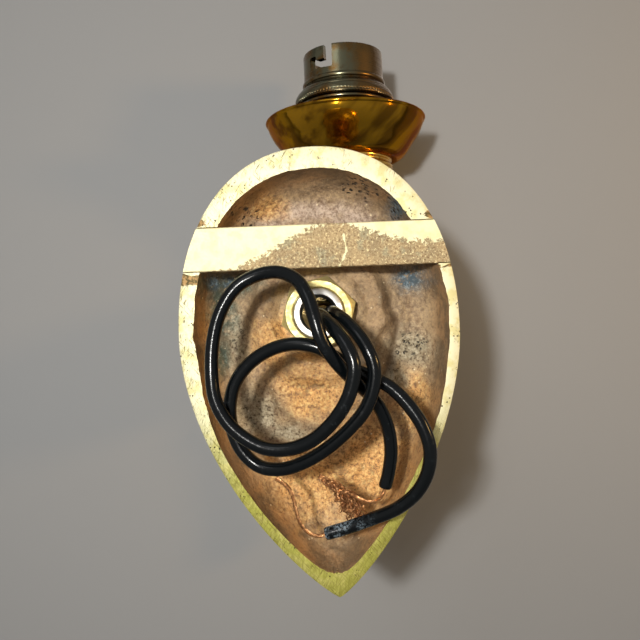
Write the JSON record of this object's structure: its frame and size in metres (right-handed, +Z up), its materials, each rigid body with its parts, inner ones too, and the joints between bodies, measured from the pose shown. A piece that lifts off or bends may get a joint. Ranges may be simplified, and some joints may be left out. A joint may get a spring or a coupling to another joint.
{
  "type": "hand torch wall sconce",
  "caption": "Cast brass wall sconce: an egg-shaped plate, a hand gripping a torch, a drip dish and a bayonet lampholder, with two loose leads at the back.",
  "frame": {"origin": "middle of the hanging bar's back face, on the wall plane", "axes": "+Z up, +Y into the wall, -Y out into the room, lamp axis vertical at x = -11.7 mm, y = -70 mm"},
  "size_m": [0.0739, 0.1189, 0.1596],
  "materials": {
    "cast_brass": "cast, satin, browned in the hollows",
    "sandy_brass": "as cast, ground at the ends",
    "turned_brass": "turned and polished",
    "polished_brass": "polished and lacquered",
    "nut_brass": "machined",
    "plated_steel": "bright plated",
    "tarnished_nickel": "tarnished nickel plate on brass",
    "moulded_insulator": "moulded brown phenolic",
    "spring_steel": "drawn wire",
    "black_covering": "glossy soft covering",
    "copper": "bare drawn strands, dulled"
  },
  "bodies": {
    "sconce": {"wall_plate": "cast_brass", "hanging_bar": "sandy_brass", "arm_tube": "plated_steel", "back_nut": "nut_brass", "arm_collar": "turned_brass", "cuff": "cast_brass", "hand": "cast_brass", "torch_rod": "plated_steel", "upper_stem": "turned_brass", "torch_cup": "turned_brass", "fist_collar": "turned_brass", "lower_stem": "turned_brass", "pommel": "turned_brass", "drip_dish": "polished_brass", "dish_nut": "nut_brass", "lampholder_cap": "tarnished_nickel", "knurled_ring": "tarnished_nickel", "lampholder_barrel": "tarnished_nickel", "insulator": "moulded_insulator", "contact_spring_left": "spring_steel", "contact_spring_right": "spring_steel", "terminals": "nut_brass", "terminal_screws": "plated_steel", "lead_a": "black_covering", "lead_b": "black_covering", "conductor_a": "copper", "conductor_b": "copper", "copper_fray": "copper", "inner_leads": "black_covering", "inner_conductors": "copper"},
    "contact_left": {"contact_plunger_left": "turned_brass"},
    "contact_right": {"contact_plunger_right": "turned_brass"}
  },
  "joints": [
    {"name": "contact_left_press", "type": "slide", "parent": "sconce", "child": "contact_left", "axis": [0, 0, 1], "range_m": [-0.003, 0], "stiffness_N_per_m": 700, "deforming": ["contact_spring_left"]},
    {"name": "contact_right_press", "type": "slide", "parent": "sconce", "child": "contact_right", "axis": [0, 0, 1], "range_m": [-0.003, 0], "stiffness_N_per_m": 700, "deforming": ["contact_spring_right"]}
  ]
}
